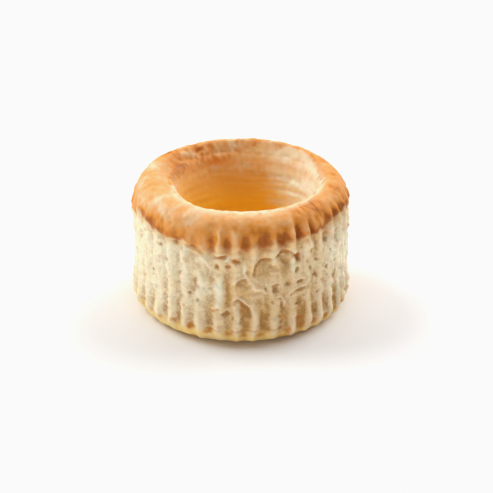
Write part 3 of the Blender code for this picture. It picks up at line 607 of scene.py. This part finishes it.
def shapeOutside(p, leaned, degrees, form, flutes, relief):
    # (relief in mm, shares for the finish) on the side and the crust
    x, y, z = p.T
    radius = np.hypot(x, y)
    arcPerDegree = math.radians(form["waistRadius"])
    shown = ramp(85, 70, abs(degrees))
    out, crest, number = shapeFlutes(p, degrees, flutes)

    # the pale side: beads on the ribs, knobs, plates that lifted, bubbles that opened
    side = ramp(3, 7, z) * ramp(41, 36.5, z)
    beads = noiseOn(np.stack([number * 31, 0 * z, z], 1), 2.4, 3)
    knobs = noiseOn(p / relief["knobSize"], 1, 0)
    grain = twoNoises(p, relief["grainSizes"], (4, 5))
    plateLevel = noiseOn(p / relief["plateSize"], 1, 6) + 0.16 * noiseOn(p, 1.7, 7)
    plates = np.tanh(plateLevel / 0.09) + 1.1 * np.exp(-((plateLevel - 0.13) / 0.07) ** 2)
    nearest, luck = cellsOn(p / (1, 1, 1.25), relief["pitCell"])
    pits = (luck > 0.45) * (0.55 + 0.6 * luck) * (1 - 0.65 * crest)
    pits = pits * ramp(0.5, 0.12, nearest) * (1 - 0.6 * shown)
    ragged = 1.1 * noiseOn(p, 3, 8) + 0.5 * noiseOn(p, 1.2, 9)
    bent = degrees + ragged / arcPerDegree * 0.6
    level = z + 0.5 * ragged
    flakes = [*sideFlakes, *scatterFlakes(hiddenSides, arcPerDegree)]
    edges, hollows, creaseShadows = raiseFlakes(bent, level, flakes, arcPerDegree)
    bubbles = openBubbles(bent, level, [*sideBubbles, *scatterBubbles(hiddenSides)], arcPerDegree)
    out += side * (flutes["bead"] * beads * crest + relief["knob"] * knobs + relief["grain"] * grain)
    out += side * (relief["plate"] * plates * (1 - 0.3 * shown) - relief["pit"] * pits)
    out += side * (relief["edge"] * edges - hollows - bubbles)

    # the base ring, the dark line above it and the leaves that show there
    slitHere = ramp(-20, -15, degrees) * ramp(26, 18, degrees)
    slitHere = np.maximum(slitHere, ramp(88, 94, abs(degrees)) * ramp(-0.15, 0.25, noiseOn(p, 12, 17)))
    fromSlit = (z - relief["slitHeight"] - 0.7 * noiseOn(p, 8, 10)) / relief["slitWidth"]
    slit = np.exp(-fromSlit ** 2) * slitHere * ramp(-0.35, 0.1, noiseOn(p, 4, 27))
    strata = noiseOn(p / (14, 14, 0.9), 1, 11) * ramp(2.5, 4.5, z) * ramp(13, 8, z)
    lumps = noiseOn(p, 1.7, 19) * ramp(0.3, 1.5, z) * ramp(7, 4.5, z)
    out += relief["strata"] * strata + relief["lump"] * lumps - relief["slit"] * slit * (1 - 0.6 * crest)

    # the crust laps over the side, lower in the valleys
    hiddenEdge = form["crustHeight"] + 1.2 * noiseOn(p * (1, 1, 0), 11, 0)
    edge = hiddenEdge + ramp(92, 80, abs(degrees)) * (readOff(degrees, crustEdge) - hiddenEdge)
    edge = edge + 1.1 * (crest - 0.6) + 0.5 * ragged
    fading = 0.3 + 1.1 * ramp(-26, -16, degrees) * ramp(34, 20, degrees)
    crust = ramp(edge - 0.2 - 0.8 * fading, edge + 0.1 + 0.8 * fading, z)
    blisters = twoNoises(leaned, relief["blisterSizes"], (0, 0))
    bumps = twoNoises(leaned, relief["grainSizes"], (18, 14))
    turn = np.radians(degrees)
    unrolled = np.stack([form["waistRadius"] * np.cos(turn), form["waistRadius"] * np.sin(turn),
                         0.42 * z + 0.42 * radius], 1)
    wrinkles = twoNoises(unrolled, relief["wrinkleSizes"], (12, 13))
    pleats = pinchPleats(bent, level, crustPleats, arcPerDegree)
    pleats = np.maximum(pleats, openBubbles(bent, level, crustPits, arcPerDegree))
    pleatRidges = openBubbles(bent, level, crustRidges, arcPerDegree) * ramp(edge - 2.5, edge - 0.5, z)
    skin = relief["blister"] * blisters + relief["goosebump"] * bumps
    skin = skin + relief["wrinkle"] * wrinkles * ramp(29, 34, radius)
    thickness = relief["skin"] - 0.4 * ramp(37.5, 40, z) * ramp(46.5, 43, z)
    out += crust * (thickness + skin) - pleats + pleatRidges
    out -= relief["under"] * (1.2 - 0.7 * fading) * (1 - crust) * ramp(edge - 2.6, edge - 0.6, z)
    slope = ramp(32, 29.5, radius) * ramp(100, 135, abs(degrees))
    out += slope * (relief["slopeBump"] * noiseOn(leaned, 2.6, 25)
                    + relief["slopeGrain"] * noiseOn(leaned, 1.3, 26))
    crustLevel = z + 0.5 * grain - 1.4 * fading * (crest - 0.5)
    return out, {
        "crust": ramp(edge - 0.6 - fading, edge + 0.7 + fading, crustLevel),
        "crest": crest,
        "leafEdge": side * np.clip(edges / 0.5, 0, 1),
        "sunk": side * np.clip(0.8 * hollows + 1.1 * bubbles + 0.9 * pits, 0, 1.2),
        # browner in the pleats and paler on the ridges between them: painted shade and painted highlight
        "pleats": pleats * (0.3 + 0.7 * ramp(46, 39, z)) - 1.5 * pleatRidges,
        "slit": slit,
        "creaseShadows": side * creaseShadows,
        "edge": z - edge,
    }


def shapeHollow(p, degrees, form, relief):
    # the same for the wall of the hollow, where the leaves of the dough show as uneven steps
    z = p.T[2]
    turn = p * (1, 1, 0) / 16
    layers = turn + np.outer(z + 1.6 * noiseOn(turn, 1, 0), (0, 0, 1))
    leaves = noiseOn(layers * (0.6, 0.6, 1) / (1, 1, 1.9), 1, 0)
    fine = noiseOn(layers * (1.6, 1.6, 1) / (1, 1, 0.8), 1, 15)
    swell = noiseOn(p * (1, 1, 0.6), 9, 0)
    crumb = noiseOn(p, 1.6, 16)
    edges, hollows, creaseShadows = raiseFlakes(degrees % 360, z + 0.6 * crumb, wallFlakes,
                                          math.radians(form["mouthRadius"]))
    low = form["floorHeight"] + form["floorFillet"]
    fade = ramp(form["height"], form["height"] - 5, z) * ramp(low, 18, z)
    blisters = twoNoises(p, relief["blisterSizes"], (0, 0))
    crustStart = readOff(degrees % 360, relief["wallCrust"])
    out = fade * (relief["leaf"] * leaves + relief["wallSwell"] * swell + relief["fineLeaf"] * fine
                  + edges - hollows)
    out += ramp(36, 45.4, z) * (relief["skin"] + relief["blister"] * blisters)
    out += relief["wallCrumb"] * crumb * ramp(low, 20, z)
    return out, {
        "crust": ramp(crustStart, crustStart + 3.5, z + crumb),
        "leafEdge": np.clip(edges / 0.5, 0, 1) * fade,
        "sunk": hollows * fade,
        "leaves": leaves + 0.4 * fine - 0.5 * creaseShadows * fade,
    }


def leanOver(places, form):
    # sets the mouth off to one side, raises and widens the crown at the back and slopes it down into the
    # mouth there, and widens the mouth at the front's left
    x, y, z = places.T
    radius = np.hypot(x, y)
    angles = np.arctan2(x, -y)
    towardsBack = towards(angles, form["backTurn"])
    towardsFunnel = towards(angles, form["funnelTurn"]) ** 2
    mouth, crest = form["mouthRadius"], form["crownRadius"]
    inside = ramp(crest + 2, mouth, radius) * ramp(8, 20, z)
    crown = ramp(mouth + form["lipRound"], crest, radius) * ramp(34, 46, z)
    slopeStart = crest + form["funnelStart"]
    slope = np.clip((slopeStart - radius) / (slopeStart - mouth), 0, 1)
    drop = form["funnel"] * towardsFunnel * slope ** form["funnelCurve"] * ramp(24, 44, z)
    lift = form["crownLift"] * crown * towardsBack - drop
    wider = form["crownSpread"] * towardsBack ** 2 * ramp(36, 46, z) * ramp(37, 31, radius)
    flare = form["flare"] * towardsFunnel * ramp(crest + 1.3, 28, radius)
    flare *= ramp(24, 43, z) * (1 - 0.6 * ramp(43, 46.5, z))
    fromBulge = abs(turnsFrom(np.degrees(angles), form["bulgeTurn"]))
    bulge = form["bulge"] * ramp(form["bulgeSpan"], 0, fromBulge) * ramp(30, 43, z) * ramp(31, 27.5, radius)
    away = np.maximum(radius, 1)
    spread = wider / away + (flare + bulge) / away
    moves = np.stack([form["mouthOffset"] * inside + x * spread, y * spread, lift], 1)
    return np.where(z[:, None] > form["underside"], places + moves, places)


def smoothOver(links, values, rounds):
    # spreads values along the mesh's edges
    starts, ends = links.T
    size = len(values)
    count = np.bincount(starts, minlength=size) + np.bincount(ends, minlength=size)
    for _ in range(rounds):
        sums = np.bincount(starts, values[ends], size) + np.bincount(ends, values[starts], size)
        values = 0.5 * values + 0.5 * sums / count
    return values


def shapeShell(shell, form, flutes, relief):
    mesh = shell.data
    places, facing = pointArrays(mesh)
    x, y, z = places.T
    leaned = leanOver(places, form)
    radius = np.hypot(x, y)
    angles = np.arctan2(x, -y)
    degrees = np.degrees(angles)
    raised = z > form["underside"]
    outer = raised & ((radius > form["crownRadius"])
                      | ((radius > form["mouthRadius"] + form["lipRound"]) & (z > form["height"] / 2)))
    wall = raised & ~outer & (z > form["floorHeight"] + form["floorFillet"])
    floor = raised & ~outer & ~wall
    out = np.zeros(len(places))
    names = ("crust", "crest", "leafEdge", "sunk", "pleats", "slit", "creaseShadows", "edge", "leaves")
    shares = {name: np.zeros(len(places)) for name in names}
    for zone, (reliefThere, sharesThere) in (
            (outer, shapeOutside(places[outer], leaned[outer], degrees[outer], form, flutes, relief)),
            (wall, shapeHollow(places[wall], degrees[wall], form, relief))):
        out[zone] = reliefThere
        for name, values in sharesThere.items():
            shares[name][zone] = values
    turn = np.radians(degrees) - np.pi / 2
    around = np.stack([np.cos(turn), np.sin(turn), z / 40], 1)
    wobble = np.array([noise.noise(Vector(p * 1.1) + Vector((5.2, 1.7, 0.4))) for p in around])
    out += outer * relief["wobble"] * wobble * ramp(0, 4, z)
    worn = towards(angles, form["funnelTurn"]) ** 2 * ramp(30.5, 27.2, radius) * ramp(41.5, 44.2, z)
    out -= relief["chamfer"] * worn
    moved = places + facing * out[:, None]
    bump = noiseOn(places * (1, 1, 0), 6, 0) * ramp(form["floorRadius"], form["floorRadius"] / 2, radius)
    moved[:, 2] += floor * relief["floorBump"] * bump
    moved = leanOver(moved, form)
    moved[:, 2] = np.maximum(moved[:, 2], 0)
    middle = (moved.min(0) + moved.max(0)) / 2
    moved -= (middle[0], middle[1], 0)
    mesh.vertices.foreach_set("co", (moved * mm).ravel())
    mesh.update()

    # how deep each point lies among those around it
    links = np.empty(len(mesh.edges) * 2, dtype=np.int64)
    mesh.edges.foreach_get("vertices", links)
    links = links.reshape(-1, 2)
    # valley and dent feed the colour: painted shade in low places and painted highlights on raised ones
    shares["valley"] = smoothOver(links, out, 60) - smoothOver(links, out, 2)
    shares["dent"] = smoothOver(links, out, 12) - out
    shares["inside"] = (~outer & raised) * 1.0
    return places, leaned, degrees, shares


formPlaces, leanedPlaces, degrees, shares = shapeShell(shell, shellForm, flutes, relief)
print("relief shaped")

# How the baking coloured it, in degrees round from the front and mm of the unleaned form.
baking = {
    "blotchSizes": (9, 4),
    "speckSizes": (2, 1),
    # (degrees, how tan the side is, tanner on the front partly as painted shade), and then how far up its
    # base is golden, and how brown the crust is
    "tan": ((-180, 1), (-75, 0.15), (-40, 0.15), (-22, 0.45), (-8, 0.85), (14, 1), (30, 0.95), (42, 0.7),
            (58, 0.1), (80, 0.05), (180, 1)),
    "gold": ((-180, 5), (-70, 7), (-15, 7.4), (12, 6.4), (25, 4.4), (45, 5.4), (75, 6), (110, 5), (180, 5)),
    "bake": ((-180, 0.12), (-130, 0.56), (-85, 0.36), (-50, 0.38), (-25, 0.24), (-10, 0.45), (20, 0.68),
             (50, 0.8), (90, 0.6), (135, 0.66), (180, 0.12)),
    # how much browner the crust is low down: everywhere, and how much more at the front's left
    "lowBakes": (0.2, 0.35),
    # the pale lip: (degrees, radius within which it is full, radius where it ends, how strong it is)
    "lip": ((-100, 20, 21, 1), (-85, 25.4, 26.6, 1), (-60, 27, 31.2, 1), (0, 29, 36, 1),
            (70, 27.4, 32.4, 1), (100, 26.6, 30.5, 0.8), (130, 27.2, 31.5, 0.3), (160, 26.6, 30, 0.15),
            (172, 20, 21, 0.1)),
    # (degrees, how far out the top is bare of crust)
    "bare": ((0, 0), (96, 20), (112, 28), (128, 30), (150, 30.2), (166, 29.8), (180, 27.8), (225, 20),
             (250, 20), (268, 20), (360, 0)),
    # (degrees, how brown the hollows are, partly painted shade)
    "sunk": ((-180, 0.8), (-90, 0.6), (-60, 0.48), (-25, 0.48), (20, 0.8), (55, 0.6), (82, 0.4), (180, 0.8)),
    # (degrees, how strong the painted shade in the flutes' valleys and the painted highlight on their crests
    # are low on the side)
    "rib": ((-180, 0.4), (-80, 0.2), (-60, 0.3), (-35, 0.42), (-8, 0.65), (5, 0.5), (25, 0.8), (45, 0.9),
            (75, 0.55), (100, 0.4), (180, 0.4)),
    # the pale part of the hollow's wall: its middle in degrees, and where it ends at these heights
    "creamMiddle": 95,
    "creamHeights": (20, 26.8, 32.2, 37.6, 41.3, 43.4, 47),
    "creamEnds": (144, 148, 149, 150, 158, 160, 158),
}


def bakeShares(p, leaned, degrees, shares, form, baking):
    x, y, z = p.T
    radius = np.hypot(x, y)
    crest, valley, dent = shares["crest"], shares["valley"], shares["dent"]
    blotches = twoNoises(leaned, baking["blotchSizes"], (20, 21), 0.6)
    specks = twoNoises(leaned, baking["speckSizes"], (22, 23), 0.6)

    # where the crust is, and how brown
    bareRing = readOff(degrees % 360, baking["bare"])
    ragged = radius + blotches + 0.5 * specks
    covered = 1 - ramp(40, 43, z) * ramp(bareRing + 1.0, bareRing - 1.0, ragged)
    crust = shares["crust"] * covered
    inside = np.maximum(shares["inside"], 1 - covered)
    side = (1 - crust) * (1 - inside)
    everywhere, atLeft = baking["lowBakes"]
    lowBake = everywhere + atLeft * ramp(-25, -42, degrees) * ramp(-70, -56, degrees)
    atBack = ramp(110, 140, abs(degrees)) * ramp(41, 44, z)
    # at the back: browner inside the crest, lighter down the slope into the mouth, and lighter along the
    # crest's ring, a painted highlight where the lamps behind fall
    marks = (0.2 * specks + 0.1) * ramp(33, 31, radius) - 0.5 * ramp(46, 44, z) * ramp(30, 28, radius)
    marks = (marks - 0.25 * np.exp(-((radius - 34.6) / 1.8) ** 2)) * atBack
    for markTurn, markRadius, halfWidth, halfLength, browner in crustMarks:
        across = turnsFrom(degrees, markTurn) * math.radians(markRadius) + 1.2 * specks
        along = radius - markRadius + 0.8 * blotches
        marks += browner * np.exp(-(across / halfWidth) ** 2 - (along / halfLength) ** 2) * ramp(41, 44, z)
    # valley and dent make the crust browner in its low places: painted shade
    bake = readOff(degrees, baking["bake"]) + 0.34 * blotches + 0.16 * specks + 0.3 * valley + 0.2 * dent
    bake = bake + lowBake * ramp(45, 40, z) + 0.26 * ramp(3.2, 0.2, shares["edge"])
    # the pleats' share browns their valleys and lightens their ridges: painted shade and highlight
    bake = bake + 0.2 * shares["pleats"] + marks
    lipRadius = radius + noiseOn(p, 5, 24) + 0.9 * specks
    lipFull, lipEnd, lipLevel = readOff(degrees, baking["lip"])
    lip = ramp(lipEnd, lipFull, lipRadius) * ramp(41.5, 44, z) * (0.85 + 0.9 * specks) * lipLevel

    # the side: brown and painted shade in valleys and hollows, pale edges and painted highlights on ridges,
    # patches, and the golden base ring
    tan = readOff(degrees, baking["tan"]) * (0.85 + 0.3 * blotches) + 0.15 * blotches + 0.15 * ramp(20, 8, z)
    ribShade = readOff(degrees, baking["rib"]) * ramp(3, 6, z) * ramp(28, 9, z)
    ribShade *= 0.8 + 0.9 * blotches
    patches = patchShares(degrees + 1.1 * specks, z + 0.7 * specks, sidePatches,
                          math.radians(form["waistRadius"]))
    brown = readOff(degrees, baking["sunk"])
    # browner in the valleys and dents of the side: painted shade
    paintedValleyShade = 0.9 * np.clip(valley, 0, 1) + 1.4 * np.clip(dent, 0, 0.4) + 0.2 * specks
    sunk = np.maximum(side * patches["brown"], brown * np.clip(0.65 * shares["sunk"] + side * paintedValleyShade, 0, 1))
    # darker in the flutes' valleys: painted shade
    sunk = sunk + side * ribShade * ramp(0.65, 0.05, crest)
    # paler on crests and raised places: painted highlight
    paintedRidgeLight = (0.6 * ribShade * ramp(0.6, 1.0, crest)
                - 0.4 * np.clip(valley, -0.7, 0) - 1.2 * np.clip(dent, -0.4, 0))
    goldTop = readOff(degrees, baking["gold"])
    goldLevel = z + 0.7 * specks + 0.8 * blotches - 1.6 * (0.6 - crest)
    gold = (1 - inside) * np.clip(0.85 + 0.5 * specks + 0.3 * blotches, 0, 1)
    toast = ramp(0.42, 0.05, crest) * (0.8 + 0.6 * blotches + 0.4 * specks)
    toast = toast * ramp(goldTop - 3, goldTop - 0.8, z) * ramp(goldTop + 4.4, goldTop + 1.2, z)
    toast = toast * 0.6 * ramp(60, 90, abs(degrees))
    # the crease lines and the slit darken the toast: painted shadow lines
    toast = toast + 0.4 * shares["slit"] + 0.4 * shares["creaseShadows"] + patches["rust"]
    toast = toast + (0.15 + 0.5 * np.clip(specks + blotches, 0, 1)) * ramp(3.4, 0.8, z)

    # the hollow: pale from the right round to where that ends at each height, partly painted light on the
    # side the lamps reach, with dark lines between leaves
    creamEnd = np.interp(z, baking["creamHeights"], baking["creamEnds"])
    fromRight = abs(turnsFrom(degrees, baking["creamMiddle"])) + baking["creamMiddle"]
    cream = ramp(creamEnd + 16, creamEnd - 16, fromRight + 10 * blotches + 5 * specks + 9 * shares["leaves"])
    cream = cream * ramp(14, 27, z) * (1 - 0.3 * ramp(41, 44.5, z))
    cream = cream + (0.3 * blotches + 0.3 * specks) * ramp(38, 43, z)
    leaves = 0.75 + 0.9 * shares["leaves"] - 0.5 * shares["leafEdge"] + 0.4 * specks - 0.1 * cream
    leaves = leaves - 0.7 * ramp(15, 11.5, z) * ramp(4, 11, radius) * np.clip(0.3 + 1.2 * blotches, 0, 1)
    return {
        "crust": crust,
        "tan": tan,
        "sunk": sunk,
        "pale": side * patches["pale"] * (0.9 + 0.5 * specks),
        "leafEdge": 0.5 * shares["leafEdge"] + side * paintedRidgeLight,
        "gold": gold * ramp(goldTop, goldTop - 3, goldLevel),
        "fringe": side * 0.7 * ramp(-3.2, -0.4, shares["edge"] + specks + 0.8 * blotches),
        "toast": side * np.clip(toast, 0, 1),
        "bake": bake,
        "lip": lip,
        "inside": inside,
        "cream": cream,
        # golder deep in the hollow: partly the crumb's colour, partly painted bounce light
        "depth": ramp(46, 20, z),
        "floor": ramp(25, 14, z),
        "leaves": leaves,
    }


for name, values in bakeShares(formPlaces, leanedPlaces, degrees, shares, shellForm, baking).items():
    stored = shell.data.attributes.new(name, "FLOAT", "POINT")
    stored.data.foreach_set("value", np.clip(values, 0, 1).astype(np.float32))
shell.data.shade_smooth()
print("baking shares stored")

# Puff pastry, baked: matt dry leaves, pale where they were cut and lightly glazed where they browned, with
# painted shade in its valleys, hollows and creases and painted highlights on its ridges.
puffPastry = {
    "cream": "#fcf2d2",
    "tan": "#efc98c",
    # brown in hollows and valleys, partly painted shade
    "hollow": "#c09050",
    # pale flake rims, and the painted highlight on ridges and crests
    "leafEdge": "#fae4bf",
    # pale patches, partly a painted highlight
    "pale": "#fff6dc",
    "gold": "#fdd682",
    "fringe": "#f0c88a",
    # toasted spots and the browned underside, and the painted shadow lines in creases and the slit
    "toast": "#c87a20",
    "crust": ("#f0d2a6", "#eaad68", "#e29132", "#b8691f"),
    "crustStops": (0.05, 0.4, 0.75, 1.0),
    "lip": "#f8dcb4",
    "wallGold": "#f2c07c",
    "wallDeep": "#fcca34",
    # deep in the hollow, partly painted bounce light
    "wallFloor": "#f6c878",
    # pale crumb on the hollow's right, partly painted light where the lamps reach
    "wallCream": "#fffbe2",
    "wallLeaf": "#dea055",
    "leafContrast": (-0.5, 0.34),  # slope and start of the lines between leaves
    "roughness": 0.72,
    "crustRoughness": 0.56,
    "mottle": 2.2,  # mm, the blotches of the crust
    "mottleShare": 0.3,
    "speck": 0.8,  # mm, scattered crumbs
    "speckShare": 0.18,
    "sand": (1.4, -0.68),  # slope and start of the same crumbs' shade on the side
    "crumb": 0.35,  # mm, the grain of the dry surface
    "grainDepth": 0.12,  # mm
    "grainStrength": 0.7,
    "lightDepth": 1.2,  # mm, how far light goes in
    "sockets": {"IOR": 1.45, "Specular IOR Level": 0.35, "Subsurface Weight": 0.45,
                "Subsurface Radius": (1.0, 0.62, 0.3)},
}


def fromHex(code):
    # sRGB hex to the linear colour that a socket takes
    shares = [int(code[i:i + 2], 16) / 255 for i in (1, 3, 5)]
    return (*(s / 12.92 if s <= 0.04045 else ((s + 0.055) / 1.055) ** 2.4 for s in shares), 1.0)


def addNode(tree, kind, sockets, **settings):
    node = tree.nodes.new("ShaderNode" + kind)
    for name, value in settings.items():
        setattr(node, name, value)
    for name, value in sockets.items():
        if isinstance(value, bpy.types.NodeSocket):
            tree.links.new(value, node.inputs[name])
        else:
            node.inputs[name].default_value = value
    return node


def makePuffPastry(finish):
    material = bpy.data.materials.new("bakedPuffPastry")
    material.use_nodes = True
    tree = material.node_tree
    surface = tree.nodes["Principled BSDF"]
    place = addNode(tree, "TexCoord", {}).outputs["Object"]
    shares = {name: addNode(tree, "Attribute", {}, attribute_name=name).outputs["Fac"]
              for name in ("crust", "tan", "sunk", "leafEdge", "pale", "gold", "fringe", "toast", "bake",
                           "lip", "inside", "cream", "depth", "floor", "leaves")}
    grains = {}
    for name in ("mottle", "speck", "crumb"):
        grains[name] = addNode(tree, "TexNoise", {"Vector": place, "Scale": 1 / (finish[name] * mm),
                                                  "Detail": 3.0, "Roughness": 0.6}).outputs["Fac"]

    # mottled crust: the stored bake, broken up by blotches and specks
    blotched, specked = (
        addNode(tree, "Math", {0: grains[name], 1: finish[name + "Share"], 2: -finish[name + "Share"] / 2},
                operation="MULTIPLY_ADD").outputs[0] for name in ("mottle", "speck"))
    uneven = addNode(tree, "Math", {0: blotched, 1: specked}, operation="ADD")
    baked = addNode(tree, "Math", {0: shares["bake"], 1: uneven.outputs[0]}, operation="ADD", use_clamp=True)
    crust = addNode(tree, "ValToRGB", {"Fac": baked.outputs[0]})
    stops = crust.color_ramp.elements
    for position in finish["crustStops"][2:]:
        stops.new(position)
    for stop, position, code in zip(stops, finish["crustStops"], finish["crust"]):
        stop.position, stop.color = position, fromHex(code)

    # the hollow's wall: leaf lines over gold and cream
    leaves = addNode(tree, "Math", {0: specked, 1: shares["leaves"]}, operation="ADD", use_clamp=True)
    slope, start = finish["leafContrast"]
    shares["leafLines"] = addNode(tree, "Math", {0: leaves.outputs[0], 1: slope, 2: start},
                                  operation="MULTIPLY_ADD", use_clamp=True).outputs[0]
    wall = fromHex(finish["wallGold"])
    for share, over in (("depth", "wallDeep"), ("floor", "wallFloor"), ("cream", "wallCream"),
                        ("leafLines", "wallLeaf")):
        wall = addNode(tree, "Mix", {0: shares[share], 6: wall, 7: fromHex(finish[over])},
                       data_type="RGBA").outputs[2]

    # everything over the cream of the side
    slope, start = finish["sand"]
    sandy = addNode(tree, "Math", {0: grains["speck"], 1: slope, 2: start}, operation="MULTIPLY_ADD")
    shares["hollow"] = addNode(tree, "Math", {0: sandy.outputs[0], 1: shares["sunk"]}, operation="ADD",
                               use_clamp=True).outputs[0]
    colours = {"inside": wall, "crust": crust.outputs["Color"]}
    colour = fromHex(finish["cream"])
    for name in ("tan", "hollow", "leafEdge", "pale", "gold", "fringe", "toast", "inside", "crust", "lip"):
        over = colours[name] if name in colours else fromHex(finish[name])
        colour = addNode(tree, "Mix", {0: shares[name], 6: colour, 7: over}, data_type="RGBA").outputs[2]
    tree.links.new(colour, surface.inputs["Base Color"])
    rough = addNode(tree, "MapRange", {"Value": shares["crust"], "To Min": finish["roughness"],
                                       "To Max": finish["crustRoughness"]})
    tree.links.new(rough.outputs[0], surface.inputs["Roughness"])
    grain = addNode(tree, "Math", {0: grains["speck"], 1: grains["crumb"]}, operation="ADD")
    bump = addNode(tree, "Bump", {"Height": grain.outputs[0], "Strength": finish["grainStrength"],
                                  "Distance": finish["grainDepth"] * mm})
    tree.links.new(bump.outputs[0], surface.inputs["Normal"])
    surface.inputs["Subsurface Scale"].default_value = finish["lightDepth"] * mm
    for name, value in finish["sockets"].items():
        surface.inputs[name].default_value = value
    return material


shell.data.materials.append(makePuffPastry(puffPastry))
print("pastry material made")

# A white table under a sky that is brighter behind. Soft lights stand behind it at the left, at the right and
# high up, and a low one at the front's left.
studio = {
    "floorSize": 6.0,
    "floor": "#f4f4f2",
    "floorRoughness": 0.9,
    "sky": "#ffe6e0",
    "sun": "#f4fbff",
    "skyStrengths": (0.04, 0.68),  # from the front and from the back
    "skyReach": 0.9,  # how far towards each they change
    "suns": (
        # name, strength, softness in degrees, height and turn from the front, in degrees
        ("keyLight", 1.78, 36, 43, -113),
        ("fillLight", 1.68, 46, 42, 124),
        ("topLight", 0.94, 74, 66, 180),
        ("lowLight", 0.76, 24, 8, -36),
    ),
    "whitest": 0.956,  # the brightest that the film gives, a little under white
}


def makeStudio(studio):
    bpy.ops.object.select_all(action="DESELECT")
    bpy.ops.mesh.primitive_plane_add(size=studio["floorSize"])
    floor = bpy.context.object
    floor.name = floor.data.name = "table"
    paper = bpy.data.materials.new("mattWhiteTable")
    paper.use_nodes = True
    surface = paper.node_tree.nodes["Principled BSDF"]
    surface.inputs["Base Color"].default_value = fromHex(studio["floor"])
    surface.inputs["Roughness"].default_value = studio["floorRoughness"]
    surface.inputs["Specular IOR Level"].default_value = 0.0
    floor.data.materials.append(paper)
    sky = bpy.data.worlds.new("whiteRoom")
    sky.use_nodes = True
    tree = sky.node_tree
    direction = addNode(tree, "TexCoord", {}).outputs["Generated"]
    parts = addNode(tree, "SeparateXYZ", {"Vector": direction})
    front, back = studio["skyStrengths"]
    reach = studio["skyReach"]
    level = addNode(tree, "MapRange", {"Value": parts.outputs["Y"], "From Min": -reach, "From Max": reach,
                                       "To Min": front, "To Max": back})
    tree.links.new(level.outputs[0], tree.nodes["Background"].inputs["Strength"])
    tree.nodes["Background"].inputs["Color"].default_value = fromHex(studio["sky"])
    bpy.context.scene.world = sky
    for name, strength, softness, height, turn in studio["suns"]:
        light = bpy.data.lights.new(name, "SUN")
        light.energy, light.angle, light.color = strength, math.radians(softness), fromHex(studio["sun"])[:3]
        sun = bpy.data.objects.new(name, light)
        sun.rotation_euler = (math.radians(90 - height), 0, math.radians(turn))
        bpy.context.scene.collection.objects.link(sun)
    film = bpy.context.scene.view_settings
    film.view_transform = "Standard"
    film.use_curve_mapping = True
    film.curve_mapping.extend = "HORIZONTAL"
    shade = film.curve_mapping.curves[3]
    shade.points[1].location = (studio["whitest"], studio["whitest"])
    film.curve_mapping.update()
    return floor


floor = makeStudio(studio)
print("table and lights placed")

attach(shell, "root")
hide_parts("pastry_shell")
bpy.context.view_layer.update()
